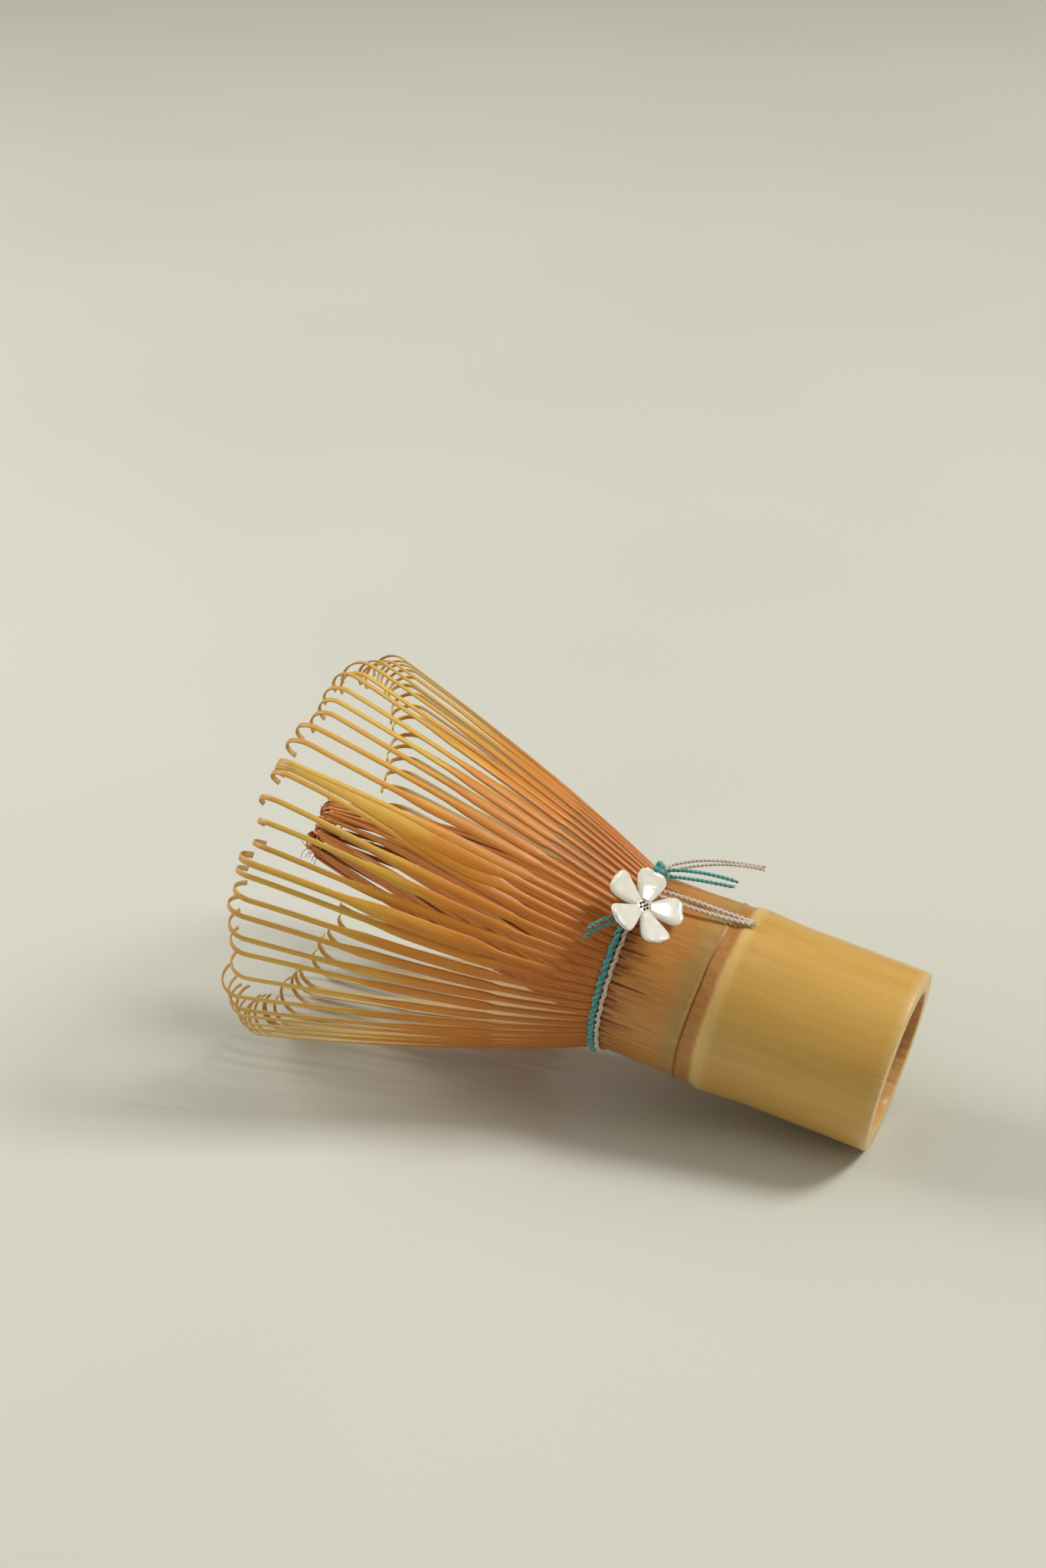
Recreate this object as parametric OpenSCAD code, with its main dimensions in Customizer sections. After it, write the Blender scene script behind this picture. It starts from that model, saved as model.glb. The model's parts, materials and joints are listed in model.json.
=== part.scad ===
// Bamboo tea whisk (chasen) with a flower charm, lying on its side on a flat surface.
//
// A single bamboo culm carries a node near its middle. Beyond a woven thread it is split into
// sixty-six curled outer tines and a gathered bundle of inner tines.
//
// Whisk frame, used by every module: +Z runs along the culm from the handle end to the tips,
// +X is the side that faces up, and angles about Z are measured from +X towards +Y.
// place() lays the whisk on its handle rim and its lowest tines, with the surface at z = 0. The
// six lowest tines are pressed in by the surface, so that they all touch it.

/* [Handle] */
// Outer radius of the handle at its open end
handle_r = 13.5; // [13:0.1:14]
// Radius of the hollow in the handle
bore_r = 10.3; // [9:0.1:11]
// Depth of the hollow, from the handle end to the wall inside the node
bore_depth = 22; // [14:0.5:22]
// Bevel on the rim of the handle
rim_bevel = 0.3; // [0.1:0.1:0.5]

/* [Node] */
// Distance of the ridge crest from the handle end
ridge_z = 25.5; // [25:0.1:26]
// Height of the ridge above the handle
ridge_rise = 0.4; // [0.2:0.1:0.8]
// Length over which the handle swells up to the ridge
ridge_run = 7; // [5:0.5:10]
// Thickness of the natural wall that closes the culm at the node
septum_t = 4.5; // [3:0.5:5]
// Distance of the sheath scar from the handle end
scar_z = 28.7; // [28.5:0.1:29]
// Height of the lip beside the sheath scar
scar_lip = 0.2; // [0.1:0.1:0.3]

/* [Neck] */
// Outer radius of the neck under the thread
neck_r = 13.35; // [13.3:0.05:13.4]
// Radius of the hollow in the neck
neck_bore_r = 10.9; // [10.8:0.1:11]
// Height at which the solid neck ends and the tines begin
neck_z = 42.3; // [42:0.1:42.5]

/* [Outer tines] */
// Tines in each of the eleven groups
tines_per_group = 6; // [3:1:6]
// Gap between the neck and the roots of the tines
root_gap = 0.15; // [0.1:0.05:0.2]
// Radius of the outer faces of the tines at their roots
root_r = 13.9; // [13.8:0.1:14]
// Height at which the tines start to curl over
curl_z = 89.2; // [80:0.1:95]
// Radius of the outer faces of the tines where they start to curl
curl_start_r = 30.3; // [27:0.1:33]
// How far the flare bulges outside a straight cone, half way up
flare_bulge = 0.85; // [0.3:0.05:1]
// Outer radius of the curl at the tip
curl_r = 4.2; // [3:0.1:5]
// Angle that the curl turns through
curl_turn = 125; // [90:5:150]
// Thickness of a tine at its root
root_t = 0.7; // [0.6:0.05:0.8]
// Thickness of a tine at its tip
tip_t = 0.4; // [0.3:0.05:0.5]
// Width of a tine at its root
root_w = 0.85; // [0.7:0.05:0.9]
// Width of the shaved blade of a tine
blade_w = 1.2; // [1:0.05:1.25]
// Width of a tine near its tip
tip_w = 0.75; // [0.5:0.05:0.9]

/* [Inner tines] */
// Inner tines in each of the six groups
inner_per_group = 6; // [4:1:6]
// Height at which the inner tines end
inner_tip_z = 91; // [80:1:92]
// Radius of the ring of inner tines where they leave the neck
inner_root_r = 10.25; // [10.1:0.05:10.3]
// Half the width of the gathered bundle at its tip
bundle_half_w = 3.8; // [3.5:0.1:5]
// Half the depth of the gathered bundle at its tip
bundle_half_d = 2; // [1.8:0.1:3]
// Twist of the bundle from root to tip
bundle_twist = 35; // [0:5:45]
// Direction that the wide side of the bundle faces, about the culm
bundle_angle = 35; // [0:5:60]
// Thickness of an inner tine
inner_t = 0.3; // [0.2:0.05:0.35]
// Greatest width of an inner tine
inner_w = 1.1; // [0.9:0.05:1.2]

/* [Thread] */
// Radius of the teal thread
teal_r = 0.5; // [0.4:0.05:0.5]
// Radius of the white thread
white_r = 0.35; // [0.3:0.05:0.35]
// Radius of one loose strand
strand_r = 0.28; // [0.2:0.02:0.3]
// Radius of the teal knot
knot_r = 0.8; // [0.6:0.1:0.9]

/* [Charm] */
// Angle about the culm at which the flower rests
charm_angle = -24; // [-26:1:-22]
// Distance of the flower's centre from the handle end
charm_z = 39.8; // [39.6:0.1:40]
// Lean of the flower, so that it clears the flaring tines
charm_lean = 12; // [10:1:16]
// Radius of the round end of a petal
petal_r = 1.85; // [1.6:0.05:1.85]
// Distance of a petal's round end from the middle of the flower
petal_reach = 3.4; // [3.2:0.1:3.6]
// Thickness of the metal back of the flower
charm_plate_t = 0.45; // [0.4:0.05:0.6]
// Thickness of the enamel
enamel_t = 0.45; // [0.3:0.05:0.6]
// Radius of the jump ring, to the middle of its wire
jump_ring_r = 1.2; // [1.1:0.05:1.3]
// Radius of the jump ring's wire
wire_r = 0.2; // [0.15:0.01:0.22]

/* [Hidden] */

round_fn = 96;
small_fn = 40;

// Tines: profile of the flare and the curl, as points of height and radius
outer_groups = 11;
group_step = 360 / outer_groups;
tine_step = group_step / tines_per_group;
root_z = neck_z + root_gap;
flare_len = curl_z - root_z;
flare_rise = curl_start_r - root_r;
flare_steps = 9;
curl_steps = 9;
curl_heading = atan((flare_rise - 4 * flare_bulge) / flare_len);
curl_cz = curl_z + curl_r * sin(curl_heading);
curl_cr = curl_start_r - curl_r * cos(curl_heading);
tip_z = curl_cz + curl_r;

// Heights at which a tine widens into its blade and narrows to its tip
slot_end_z = 55;
blade_start_z = 56;
blade_end_z = 70;
tip_start_z = 77;

// Pose of the whisk: the rim touches the surface, and so do the tines within rest_angle of the
// lowest line of the whisk
rest_angle = 2.5 * tine_step;
lean_r = curl_cr * cos(rest_angle) - handle_r;
lean_z = curl_cz - rim_bevel;
tilt = resting_tilt(10, 4);
end_height = handle_r * cos(tilt) - rim_bevel * sin(tilt);
lowest_curl = pressed_curl(tine_step / 2);
far_reach = lowest_curl[1] * cos(tilt) + lowest_curl[0] * cos(tine_step / 2) * sin(tilt) + curl_r;
near_reach = (handle_r - rim_bevel) * sin(tilt);
end_x = (far_reach - near_reach) / 2;

// Node and neck
septum_z = bore_depth;
ridge_fall = 1.6;
node_r = handle_r;
scar_depth = 0.25;
scar_w = 0.3;
lip_w = 0.6;
neck_run = 6;

// Inner tines
inner_groups = 6;
inner_count = inner_groups * inner_per_group;
inner_root_z = 39.5;
inner_steps = 9;
inner_fill = 0.72;
bundle_bulge = 0.8;
bundle_pinch = -0.6;
bundle_lift = 2;
inner_tip_t = 0.7;

// Thread wraps, knots and loose ends
teal_z = 41.75;
white_z = 40.85;
spreader_r = 0.4;
spreader_ring_r = 12.6;
strand_sides = 8;
strand_steps = 8;
teal_knot_angle = 13;
white_knot_angle = 20;
knot_z = 41;
knot_lift = 0.55;

// Charm: the tie loop, the jump ring and the eyelet hang in a chain in one cross-section
petals = 5;
chain_z = 39.6;
tie_angle = 2;
tie_r = 0.75;
tie_wire_r = 0.3;
chain_drop = 15;
eyelet_r = 0.55;
eyelet_wire_r = 0.17;
charm_ride = 15.4;
seed_r = 0.3;
seed_ring_r = 0.62;
seed_count = 7;
boss_r = 1.15;
enamel_inset = 0.28;
petal_root_r = 0.55;
petal_root_reach = 1.3;

tie_pos = polar(neck_r + 2 * teal_r + tie_r + tie_wire_r, tie_angle, chain_z);
teal_knot_pos = polar(neck_r + 2 * teal_r + knot_lift, teal_knot_angle, knot_z);
chain_dir = [-sin(chain_drop), -cos(chain_drop), 0];
ring_pos = tie_pos + jump_ring_r * chain_dir;
eyelet_pos = tie_pos + 2 * jump_ring_r * chain_dir;

// A point given by its radius, its angle about the culm and its height
function polar(r, a, z) = [r * cos(a), r * sin(a), z];

// A smooth step from 0 to 1
function ease(t) = t * t * (3 - 2 * t);

// A straight change from a to b
function mix(a, b, t) = a + (b - a) * t;

// A vector of length 1
function unit(v) = v / norm(v);

// A point of a cubic curve with four control points
function bezier(p, t) =
    p[0] * pow(1 - t, 3) + 3 * p[1] * t * pow(1 - t, 2) + 3 * p[2] * t * t * (1 - t) + p[3] * pow(t, 3);

// How far a curl and its lower edge reach below its centre, on a tine off from the lowest line
function curl_drop(off, lean) =
    curl_r * norm([cos(lean) * cos(off), sin(lean)]) + tip_w / 2 * sin(abs(off));

// Tilt at which the rim and the pressed tines share one plane, closer with every step
function resting_tilt(lean, steps) =
    steps == 0 ? lean
    : resting_tilt(acos(-curl_drop(rest_angle, lean) / norm([lean_r, lean_z]))
                   - atan2(lean_z, lean_r), steps - 1);

// Depth of a tine's lowest point under the middle of the curls
function tine_drop(off) = curl_cr * cos(off) * cos(tilt) + curl_drop(off, tilt);

// Angle about its root that the surface presses a tine in by
function press(off) =
    abs(off) >= rest_angle ? 0
    : asin((tine_drop(off) - tine_drop(rest_angle)) / (cos(tilt) * cos(off) * (curl_cz - root_z)));

// Radius and height of the middle of a curl once it is pressed in
function pressed_curl(off) =
    [root_r + (curl_cr - root_r) * cos(press(off)) - (curl_cz - root_z) * sin(press(off)),
     root_z + (curl_cz - root_z) * cos(press(off)) + (curl_cr - root_r) * sin(press(off))];

// Stations along a tine's outer face: height, radius, heading and thickness
function flare_station(t) =
    [root_z + flare_len * t,
     root_r + flare_rise * t + 4 * flare_bulge * t * (1 - t),
     atan((flare_rise + 4 * flare_bulge * (1 - 2 * t)) / flare_len),
     mix(root_t, tip_t, t)];

function curl_station(t) =
    [curl_cz - curl_r * sin(curl_heading - curl_turn * t),
     curl_cr + curl_r * cos(curl_heading - curl_turn * t),
     curl_heading - curl_turn * t,
     tip_t];

function tine_stations() =
    concat([for (i = [0 : flare_steps]) flare_station(i / flare_steps)],
           [for (i = [1 : curl_steps]) curl_station(i / curl_steps)]);

// A point of the inner tine at angle a, a part t of the way from root to tip
function bundle_point(a, t) =
    let (w = mix(inner_root_r, bundle_half_w, t) + 4 * bundle_bulge * t * (1 - t),
         d = mix(inner_root_r, bundle_half_d, t) + 4 * bundle_pinch * t * (1 - t),
         x = w * cos(a + bundle_twist * t - bundle_angle) + bundle_lift * ease(t),
         y = d * sin(a + bundle_twist * t - bundle_angle))
    [x * cos(bundle_angle) - y * sin(bundle_angle),
     x * sin(bundle_angle) + y * cos(bundle_angle),
     mix(inner_root_z, inner_tip_z, t)];

// Four corners of an inner tine's section
function bundle_ring(a, t) =
    let (step = 360 / inner_count,
         across = bundle_point(a + step / 2, t) - bundle_point(a - step / 2, t),
         half_w = min(inner_w, inner_fill * norm(across)) / 2 * unit(across),
         half_t = inner_t * mix(1, inner_tip_t, t) / 2 * cross([0, 0, 1], unit(across)),
         p = bundle_point(a, t))
    [p - half_w - half_t, p + half_w - half_t, p + half_w + half_t, p - half_w + half_t];

// Corners of a round strand's section across a curve
function strand_ring(p, t, r) =
    let (step = 0.5 / strand_steps,
         along = unit(bezier(p, min(1, t + step)) - bezier(p, max(0, t - step))),
         side = unit(cross(along, [0, 1, 0.2])),
         up = cross(side, along))
    [for (i = [0 : strand_sides - 1])
        bezier(p, t) + r * (cos(i * 360 / strand_sides) * side + sin(i * 360 / strand_sides) * up)];

// Lays the whisk on its side, with the surface at z = 0
module place() {
    translate([end_x, 0, end_height]) rotate([0, tilt - 90, 0]) children();
}

// Skin over a list of rings that all have the same number of corners
module skin(rings) {
    n = len(rings[0]);
    last = len(rings) - 1;
    polyhedron(
        points = [for (ring = rings) for (p = ring) p],
        faces = concat(
            [[for (i = [0 : n - 1]) i]],
            [for (k = [0 : last - 1]) for (i = [0 : n - 1])
                [k * n + i, (k + 1) * n + i, (k + 1) * n + (i + 1) % n, k * n + (i + 1) % n]],
            [[for (i = [n - 1 : -1 : 0]) last * n + i]]));
}

// A thread that follows a cubic curve
module strand(p, r = strand_r) {
    skin([for (i = [0 : strand_steps]) strand_ring(p, i / strand_steps, r)]);
}

// A ring of round wire about Z
module wire_ring(ring_r, wire) {
    rotate_extrude($fn = round_fn) translate([ring_r, 0]) circle(r = wire, $fn = small_fn);
}

// A round rod between two points
module rod(a, b, r) {
    v = b - a;
    translate(a) rotate([0, acos(v[2] / norm(v)), atan2(v[1], v[0])])
        cylinder(r = r, h = norm(v), $fn = small_fn);
}

// Handle, node and neck in one piece of bamboo, with a hollow at each end of the node's wall
module culm() {
    swell = [for (i = [0 : 6]) let (t = i / 6)
        [handle_r + ridge_rise * ease(t), ridge_z - ridge_run * (1 - t)]];
    fall = [for (i = [1 : 5]) let (t = i / 5)
        [mix(handle_r + ridge_rise, node_r, ease(t)), ridge_z + ridge_fall * t]];
    waist = [for (i = [0 : 6]) let (t = i / 6)
        [mix(node_r, neck_r, ease(t)), scar_z + lip_w + neck_run * t]];
    color([0.78, 0.64, 0.36]) place() rotate_extrude($fn = round_fn) polygon(concat(
        [[bore_r, 0], [handle_r - rim_bevel, 0], [handle_r, rim_bevel]],
        swell, fall,
        [[node_r, scar_z - scar_w], [node_r - scar_depth, scar_z - scar_w / 2],
         [node_r + scar_lip, scar_z]],
        waist,
        [[neck_r, neck_z], [neck_bore_r, neck_z], [neck_bore_r, septum_z + septum_t],
         [0, septum_z + septum_t], [0, septum_z], [bore_r, septum_z]]));
}

// One outer tine: the bowed side profile, cut to the outline seen from outside
module tine() {
    stations = tine_stations();
    outer = [for (s = stations) [s[1], s[0]]];
    inner = [for (s = stations) [s[1] - s[3] * cos(s[2]), s[0] + s[3] * sin(s[2])]];
    backward = [for (i = [len(inner) - 1 : -1 : 0]) inner[i]];
    right = [[root_w, root_z - 1], [root_w, slot_end_z], [blade_w, blade_start_z],
             [blade_w, blade_end_z], [tip_w, tip_start_z], [tip_w, tip_z + 1]] / 2;
    intersection() {
        rotate([90, 0, 0]) linear_extrude(2 * blade_w, center = true)
            polygon(concat(outer, backward));
        rotate([90, 0, 90]) linear_extrude(2 * curl_start_r) polygon(concat(
            [for (p = right) [p[0], 2 * p[1]]],
            [for (i = [len(right) - 1 : -1 : 0]) [-right[i][0], 2 * right[i][1]]]));
    }
}

// The outer tines that flex together, group k of eleven
module outer_tines(k) {
    shift = (tines_per_group - 1) / 2;
    color(k % 2 == 0 ? [0.82, 0.62, 0.3] : [0.79, 0.58, 0.27]) place()
        for (j = [0 : tines_per_group - 1])
            let (a = (k - 1) * group_step + (j - shift) * tine_step)
                rotate(a) translate([root_r, 0, root_z]) rotate([0, -press(a - 180), 0])
                    translate([-root_r, 0, -root_z]) tine();
}

// The inner tines of group k of six, drawn in to the flat twisted bundle
module inner_tines(k) {
    color([0.69, 0.45, 0.2]) place()
        for (j = [0 : inner_per_group - 1])
            let (a = ((k - 1) * inner_per_group + j) * 360 / inner_count)
                skin([for (i = [0 : inner_steps]) bundle_ring(a, i / inner_steps)]);
}

module teal_thread_wrap() {
    color([0.16, 0.46, 0.46]) place() translate([0, 0, teal_z]) wire_ring(neck_r + teal_r, teal_r);
}

module white_thread_wrap() {
    color([0.82, 0.76, 0.7]) place() translate([0, 0, white_z]) wire_ring(neck_r + white_r, white_r);
}

// The pass of thread between the outer and the inner tines, which keeps them apart
module spreader_thread() {
    color([0.16, 0.46, 0.46]) place()
        translate([0, 0, neck_z + spreader_r]) wire_ring(spreader_ring_r, spreader_r);
}

module teal_knot() {
    color([0.16, 0.5, 0.52]) place() {
        translate(teal_knot_pos) sphere(r = knot_r, $fn = small_fn);
        translate(teal_knot_pos + [0, -1.1, -0.4]) sphere(r = knot_r * 0.8, $fn = small_fn);
    }
}

module white_knot() {
    color([0.84, 0.79, 0.72]) place()
        translate(polar(neck_r + 2 * white_r + knot_lift, white_knot_angle, white_z - 0.3))
            sphere(r = knot_r * 0.85, $fn = small_fn);
}

// Two teal tails that stand up over the neck
module teal_tails() {
    color([0.2, 0.58, 0.6]) place() for (side = [-1, 1]) strand([
        polar(15, 8 + 1.2 * side, 40), polar(16.6, 6 + 1.6 * side, 36.5),
        polar(17.5, 4 + 1.3 * side, 33), polar(17.9, 4 + 1.0 * side, 29.6)]);
}

// Two white tails that stand up above the neck
module white_tails_upper() {
    color([0.85, 0.81, 0.74]) place() for (side = [-1, 1]) strand([
        polar(15, 20 + 1.2 * side, 39.8), polar(17.6, 21 + 2.0 * side, 36),
        polar(18.8, 22 + 1.6 * side, 32), polar(19.5, 22 + 1.0 * side, 27.4)]);
}

// Two white tails that lie along the neck and over the ridge
module white_tails_neck() {
    color([0.85, 0.8, 0.74]) place() for (side = [-1, 1]) strand([
        polar(14.3, -8 + 1.4 * side, 38.9), polar(14.5, -8 + 1.4 * side, 35),
        polar(14.1, -6 + 1.4 * side, 30), polar(14.4, -5 + 1.4 * side, 25)]);
}

// Two short teal ends that reach over the roots of the tines
module teal_ends() {
    color([0.2, 0.58, 0.6]) place() for (side = [-1, 1]) strand([
        polar(15.4, -36 + 2.2 * side, 42.3), polar(16.2, -40 + 2.2 * side, 43.5),
        polar(16.8, -45 + 2.2 * side, 44.6), polar(17.3, -50 + 2.2 * side, 45.4)]);
}

// The loop of teal thread that holds the jump ring, and the stretch that runs to the knot
module charm_tie() {
    color([0.16, 0.46, 0.46]) place() {
        translate(tie_pos) across_chain() wire_ring(tie_r, tie_wire_r);
        rod(tie_pos - tie_r * chain_dir, teal_knot_pos, tie_wire_r);
    }
}

module jump_ring() {
    color([0.78, 0.55, 0.38]) place() translate(ring_pos) wire_ring(jump_ring_r, wire_r);
}

// Turns and moves a flower drawn flat about Z into its place on the whisk
module on_charm() {
    place() rotate(charm_angle) translate([charm_ride, 0, charm_z])
        rotate([0, 90 + charm_lean, 0]) children();
}

// Turns a loop drawn about Z so that the jump ring's wire passes straight through it
module across_chain() {
    rotate([0, 90, -chain_drop]) children();
}

// One petal, pointing along +X
module petal(inset, t) {
    hull() {
        translate([petal_root_reach, 0, 0])
            cylinder(r = petal_root_r, h = t, $fn = small_fn);
        translate([petal_reach, 0, 0])
            cylinder(r = petal_r - inset, h = t, $fn = small_fn);
    }
}

// Metal back of the flower, with the eyelet that hangs on the jump ring
module charm_base() {
    outward = [-sin(charm_angle), cos(charm_angle), 0];
    stem_start = polar(charm_ride + charm_plate_t / 2, charm_angle, charm_z) + petal_root_reach * outward;
    stem_end = eyelet_pos + eyelet_r * chain_dir;
    color([0.74, 0.5, 0.34]) {
        on_charm() {
            for (i = [0 : petals - 1])
                rotate(90 + (i + 0.5) * 360 / petals) petal(0, charm_plate_t);
            cylinder(r = petal_root_reach + petal_root_r, h = charm_plate_t, $fn = small_fn);
            cylinder(r = boss_r, h = charm_plate_t + enamel_t, $fn = small_fn);
        }
        place() {
            translate(eyelet_pos) across_chain() wire_ring(eyelet_r, eyelet_wire_r);
            rod(stem_start, stem_end, eyelet_wire_r * 1.3);
        }
    }
}

// White enamel, one field on each petal
module charm_enamel() {
    color([0.93, 0.92, 0.88]) on_charm() translate([0, 0, charm_plate_t])
        difference() {
            union() for (i = [0 : petals - 1])
                rotate(90 + (i + 0.5) * 360 / petals) petal(enamel_inset, enamel_t);
            translate([0, 0, -1]) cylinder(r = boss_r + 0.05, h = enamel_t + 2, $fn = small_fn);
        }
}

// Seeds in the middle of the flower
module charm_seeds() {
    color([0.4, 0.25, 0.24]) on_charm() translate([0, 0, charm_plate_t + enamel_t]) {
        sphere(r = seed_r, $fn = small_fn);
        for (i = [0 : seed_count - 1])
            rotate(i * 360 / seed_count) translate([seed_ring_r, 0, 0])
                sphere(r = seed_r * 0.85, $fn = small_fn);
    }
}

culm();
outer_tines(1);  // outer_tines_01
outer_tines(2);  // outer_tines_02
outer_tines(3);  // outer_tines_03
outer_tines(4);  // outer_tines_04
outer_tines(5);  // outer_tines_05
outer_tines(6);  // outer_tines_06
outer_tines(7);  // outer_tines_07
outer_tines(8);  // outer_tines_08
outer_tines(9);  // outer_tines_09
outer_tines(10);  // outer_tines_10
outer_tines(11);  // outer_tines_11
inner_tines(1);  // inner_tines_1
inner_tines(2);  // inner_tines_2
inner_tines(3);  // inner_tines_3
inner_tines(4);  // inner_tines_4
inner_tines(5);  // inner_tines_5
inner_tines(6);  // inner_tines_6
teal_thread_wrap();
white_thread_wrap();
spreader_thread();
teal_knot();
white_knot();
teal_tails();
white_tails_upper();
white_tails_neck();
teal_ends();
charm_tie();
jump_ring();
charm_base();
charm_enamel();
charm_seeds();
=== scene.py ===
"""Bamboo tea whisk with a flower charm: the looks of every piece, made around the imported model.

Shapes are worked out in the whisk's own frame, in millimetres: z runs along the culm from the
handle end to the tips, x is the side that faces up, and angles about z start at x and turn
towards y. world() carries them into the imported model's frame, in metres.
"""

import json
import math
import random

import bmesh
import bpy
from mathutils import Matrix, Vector
from mathutils.noise import noise as value_noise

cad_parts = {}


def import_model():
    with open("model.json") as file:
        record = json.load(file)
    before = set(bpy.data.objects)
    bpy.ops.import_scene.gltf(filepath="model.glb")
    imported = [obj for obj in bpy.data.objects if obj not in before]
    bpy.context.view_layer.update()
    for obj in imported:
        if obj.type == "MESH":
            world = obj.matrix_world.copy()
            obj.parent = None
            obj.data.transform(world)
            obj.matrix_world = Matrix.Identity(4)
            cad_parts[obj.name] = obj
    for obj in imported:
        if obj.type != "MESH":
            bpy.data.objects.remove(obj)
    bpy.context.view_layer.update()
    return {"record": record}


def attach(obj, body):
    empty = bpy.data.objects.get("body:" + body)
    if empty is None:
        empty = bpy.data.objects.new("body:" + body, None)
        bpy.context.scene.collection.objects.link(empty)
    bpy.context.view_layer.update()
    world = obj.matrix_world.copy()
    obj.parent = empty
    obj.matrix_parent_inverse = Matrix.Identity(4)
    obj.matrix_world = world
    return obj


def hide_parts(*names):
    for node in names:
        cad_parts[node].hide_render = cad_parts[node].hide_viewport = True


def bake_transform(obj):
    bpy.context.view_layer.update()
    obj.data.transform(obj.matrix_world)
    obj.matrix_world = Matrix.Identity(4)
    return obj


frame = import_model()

MM = 0.001

# Handle, node and neck
HANDLE_R = 13.5
BORE_R = 10.3
SEPTUM_Z = 22.0
SEPTUM_T = 4.5
RIM_BEVEL = 0.3
RIDGE_Z = 25.5
RIDGE_RISE = 0.4
RIDGE_RUN = 7.0
RIDGE_FALL = 1.7
SCAR_Z = 28.55
SCAR_SLANT = 0.55
SCAR_SLANT_TURN = 0.4
SCAR_WAVER = 0.16
SCAR_GRAIN_REACH = 5
SCAR_DEPTH = 0.3
SCAR_HALF_W = 0.16
SCAR_LIP = 0.2
SCAR_LIP_HALF_W = 0.3
NECK_R = 13.35
NECK_RUN = 6.0
NECK_BORE_R = 10.9
NECK_Z = 42.3

# Outer tines
GROUPS = 11
TINES_PER_GROUP = 6
GROUP_STEP = 360 / GROUPS
TINE_STEP = GROUP_STEP / TINES_PER_GROUP
ROOT_Z = 42.45
ROOT_R = 13.9
FLARE_TOP_Z = 89.2
FLARE_TOP_R = 30.3
FLARE_BULGE = 0.85
TIP_Z = 94.5
CURL_R = 4.2
CURL_MIDDLE_R = FLARE_TOP_R - CURL_R
CURL_MIDDLE_Z = FLARE_TOP_Z + CURL_R / 4
CURL_RISE = 1.26
CURL_TIGHTENING = 0.28
TINE_ROOT_W = 0.88
TINE_BLADE_W = 1.5
TINE_NARROWED = 0.54
TINE_TIP_NARROWED = 0.92
TINE_ROOT_T = 0.72
TINE_BLADE_T = 0.46

# Inner tines
INNER_GROUPS = 6
INNER_PER_GROUP = 11
INNER_ROOT_Z = 39.5
INNER_TIP_Z = 94.2
INNER_ROOT_R = 10.25
BUNDLE_HALF_W = 3.8
BUNDLE_HALF_D = 2.0
BUNDLE_BULGE_W = 5.0
BUNDLE_WAIST_D = 2.4
BUNDLE_TWIST = 35
BUNDLE_ANGLE = 35
BUNDLE_LIFT = 2.0
INNER_ROOT_HALF_W = 0.52
INNER_TIP_HALF_W = 0.26
INNER_ROOT_HALF_T = 0.16
INNER_TIP_HALF_T = 0.09
INNER_BEVEL = 0.04
FIBRE_R = 0.05

# Thread
TEAL_Z = 41.75
TEAL_R = 0.5
WHITE_Z = 40.85
WHITE_R = 0.35
SPREADER_RING_R = 12.3
SPREADER_R = 0.2
WRAP_DIP = 0.07
WRAP_WAVER = 0.08
PLY_PITCH = 2.3
PLY_R = 0.56
PLY_OFFSET = 0.5
STRAND_R = 0.28
STRAND_FRAY_R = 0.06
STRAND_FRAY_REACH = 0.22
TEAL_KNOT_ANGLE = 13
TEAL_KNOT_R = NECK_R + 1.55
WHITE_KNOT_ANGLE = 20
KNOT_Z = 41.0

# Charm
CHARM_ANGLE = -28
CHARM_Z = 39.8
CHARM_LEAN = 26
CHARM_SWING = 13
CHARM_RIDE = 16.3
PETALS = 5
PETAL_LENGTH = 5.95
PETAL_TURN = -25
PETAL_HALF_W = 2.85
PETAL_RISE = 0.85
PETAL_CUP = 0.3
PLATE_T = 0.4
ENAMEL_FLOOR = 0.22
ENAMEL_DOME = 0.42
SEED_R = 0.22
SEED_RING_R = 0.58
SEED_Z = 0.97
CHAIN_DROP = 15
TIE_ANGLE = 2
TIE_Z = 39.6
TIE_R = 0.75
TIE_WIRE_R = 0.25
TIE_GAP = 0.3
TIE_PITCH = 1.0
RING_R = 1.2
RING_WIRE_R = 0.2
EYELET_R = 0.55
EYELET_WIRE_R = 0.17
EYELET_STEM_R = 0.24


# ---------------------------------------------------------------- the whisk's frame

MOUNTS = {mount["name"]: mount for mount in frame["record"]["mounts"]}
BORE = MOUNTS["handle_bore"]
ALONG = -Vector(BORE["axis"]).normalized()
SIDE = Vector((0, 1, 0))
UP = SIDE.cross(ALONG)
HANDLE_END = Vector(BORE["pos_m"]) - ALONG * BORE["dims"]["length_mm"] / 2 * MM


def world(p):
    """A point of the whisk's frame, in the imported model's frame."""
    return HANDLE_END + (UP * p[0] + SIDE * p[1] + ALONG * p[2]) * MM


def polar(r, a, z):
    """A point given by its radius, its angle about the culm and its height."""
    return Vector((r * math.cos(math.radians(a)), r * math.sin(math.radians(a)), z))


def clamp(t):
    """t held between 0 and 1."""
    return max(0.0, min(1.0, t))


def ease(t):
    """A smooth step from 0 to 1."""
    t = clamp(t)
    return t * t * (3 - 2 * t)


def mix(a, b, t):
    """The value a part t of the way from a to b."""
    return a + (b - a) * t


def bump(t):
    """1 at t = 0, falling smoothly to 0 at t = -1 and t = 1."""
    return ease(1 - abs(t))


def span(start, stop, count):
    """count steps from start to stop, with both ends."""
    return [mix(start, stop, i / count) for i in range(count + 1)]


# ---------------------------------------------------------------- camera, floor and light

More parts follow.
